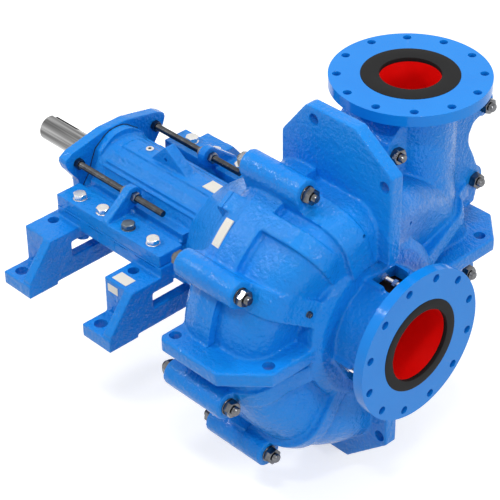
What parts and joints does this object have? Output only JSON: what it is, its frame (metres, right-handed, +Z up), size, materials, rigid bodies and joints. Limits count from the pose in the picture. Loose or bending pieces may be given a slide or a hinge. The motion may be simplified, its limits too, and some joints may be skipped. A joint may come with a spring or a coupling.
{
  "type": "slurry pump",
  "caption": "Horizontal centrifugal slurry pump with a split lined casing, overhung impeller, gland, bearing cartridge and cradle base.",
  "frame": {"origin": "centre of the four foot pads, on the plane that they rest on", "axes": "+X along the shaft from the drive end to the suction flange, +Y to the discharge side, +Z up"},
  "size_m": [1.8515, 1.301, 1.3669],
  "materials": {
    "blue_paint": "glossy paint over rough casting",
    "red_liner": "moulded wear liner, satin",
    "black_rubber": "matt joint ring",
    "bright_steel": "machined",
    "cast_iron": "as cast",
    "packing_fibre": "plaited fibre",
    "dark_steel": "oiled fasteners"
  },
  "bodies": {
    "frame": {"cover_plate": "blue_paint", "frame_plate": "blue_paint", "discharge_flange": "blue_paint", "base_frame": "blue_paint", "clamp_bar_left": "blue_paint", "clamp_bar_right": "blue_paint", "volute_liner": "red_liner", "frame_plate_liner": "red_liner", "throat_bush": "red_liner", "suction_joint_ring": "black_rubber", "discharge_joint_ring": "black_rubber", "lantern_ring": "bright_steel", "stuffing_box": "cast_iron", "gland": "cast_iron", "packing_front": "packing_fibre", "packing_rear": "packing_fibre", "casing_bolt_1": "dark_steel", "casing_bolt_2": "dark_steel", "casing_bolt_3": "dark_steel", "casing_bolt_4": "dark_steel", "casing_bolt_5": "dark_steel", "casing_bolt_6": "dark_steel", "casing_bolt_7": "dark_steel", "casing_bolt_8": "dark_steel", "casing_bolt_9": "dark_steel", "casing_bolt_10": "dark_steel", "bush_stud_1": "dark_steel", "bush_stud_2": "dark_steel", "bush_stud_3": "dark_steel", "clamp_bolt_left_1": "dark_steel", "clamp_bolt_left_2": "dark_steel", "clamp_bolt_left_3": "dark_steel", "clamp_bolt_left_4": "dark_steel", "clamp_bolt_right_1": "dark_steel", "clamp_bolt_right_2": "dark_steel", "clamp_bolt_right_3": "dark_steel", "clamp_bolt_right_4": "dark_steel", "gland_bolt_1": "dark_steel", "gland_bolt_2": "dark_steel"},
    "cartridge": {"bearing_housing": "blue_paint", "drive_end_plate": "blue_paint", "pump_end_cover": "blue_paint", "bearing_outer_race_drive": "bright_steel", "bearing_outer_race_pump": "bright_steel", "adjusting_rod_left": "dark_steel", "adjusting_rod_right": "dark_steel", "breather": "bright_steel"},
    "rotor": {"shaft": "bright_steel", "shaft_sleeve": "bright_steel", "bearing_rollers_drive": "bright_steel", "bearing_rollers_pump": "bright_steel", "bearing_lock_nut": "dark_steel", "flinger": "black_rubber", "impeller": "cast_iron"},
    "adjusting_nut_left_front": {"adjusting_nut_left_front": "dark_steel"},
    "adjusting_nut_left_rear": {"adjusting_nut_left_rear": "dark_steel"},
    "adjusting_nut_right_front": {"adjusting_nut_right_front": "dark_steel"},
    "adjusting_nut_right_rear": {"adjusting_nut_right_rear": "dark_steel"}
  },
  "joints": [
    {"name": "axial_adjust", "type": "slide", "parent": "frame", "child": "cartridge", "axis": [1, 0, 0], "range_m": [-0.01, 0]},
    {"name": "shaft_spin", "type": "hinge", "parent": "cartridge", "child": "rotor", "pos_m": [0, 0, 0.231], "axis": [1, 0, 0], "continuous": true},
    {"name": "adjusting_nut_left_front_turn", "type": "hinge", "parent": "frame", "child": "adjusting_nut_left_front", "pos_m": [0, -0.18, 0.331], "axis": [1, 0, 0], "range_deg": [0, 1201]},
    {"name": "adjusting_nut_left_rear_turn", "type": "hinge", "parent": "frame", "child": "adjusting_nut_left_rear", "pos_m": [0, -0.18, 0.331], "axis": [1, 0, 0], "range_deg": [0, 1201]},
    {"name": "adjusting_nut_right_front_turn", "type": "hinge", "parent": "frame", "child": "adjusting_nut_right_front", "pos_m": [0, 0.18, 0.331], "axis": [1, 0, 0], "range_deg": [0, 1201]},
    {"name": "adjusting_nut_right_rear_turn", "type": "hinge", "parent": "frame", "child": "adjusting_nut_right_rear", "pos_m": [0, 0.18, 0.331], "axis": [1, 0, 0], "range_deg": [0, 1201]}
  ],
  "couplings": [
    {"joint": "adjusting_nut_left_front_turn", "follows": "axial_adjust", "rad_per_m": -2094.4},
    {"joint": "adjusting_nut_left_rear_turn", "follows": "axial_adjust", "rad_per_m": -2094.4},
    {"joint": "adjusting_nut_right_front_turn", "follows": "axial_adjust", "rad_per_m": -2094.4},
    {"joint": "adjusting_nut_right_rear_turn", "follows": "axial_adjust", "rad_per_m": -2094.4}
  ]
}
